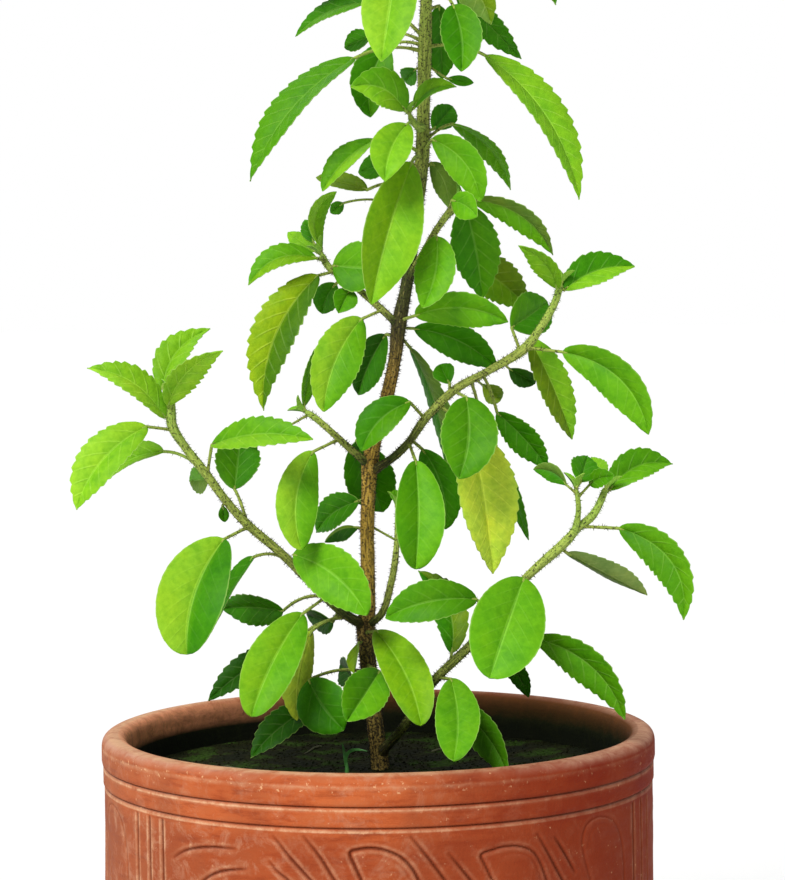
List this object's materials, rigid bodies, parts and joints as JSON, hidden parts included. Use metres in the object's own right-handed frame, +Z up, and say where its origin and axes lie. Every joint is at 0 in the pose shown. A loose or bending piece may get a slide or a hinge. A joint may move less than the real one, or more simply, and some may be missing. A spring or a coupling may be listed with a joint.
{
  "type": "potted holy basil plant",
  "caption": "Leafy holy basil with a woody branching stem and toothed leaves, growing in soil in a round terracotta pot with carved ornament.",
  "frame": {"origin": "middle of the pot's flat underside, on the surface it stands on", "axes": "+Z up; the picture looks along +Y, with +X to its right"},
  "size_m": [0.215, 0.1994, 0.5523],
  "materials": {
    "terracotta": "matte unglazed earthenware, orange red with dusty patches",
    "potting_soil": "matte dark damp potting soil",
    "basil_plant": "green hairy leaves with a slight sheen, on brown woody to olive green stems",
    "seedling_green": "matte green grass blades"
  },
  "bodies": {
    "root": {"pot": "terracotta", "soil": "potting_soil", "main_stem": "basil_plant", "branch_low_left": "basil_plant", "branch_low_right": "basil_plant", "branch_mid_left": "basil_plant", "branch_mid_right": "basil_plant", "branch_upper_left": "basil_plant", "branch_upper_right": "basil_plant", "centre_shoot": "basil_plant", "seedling": "seedling_green"}
  },
  "joints": []
}
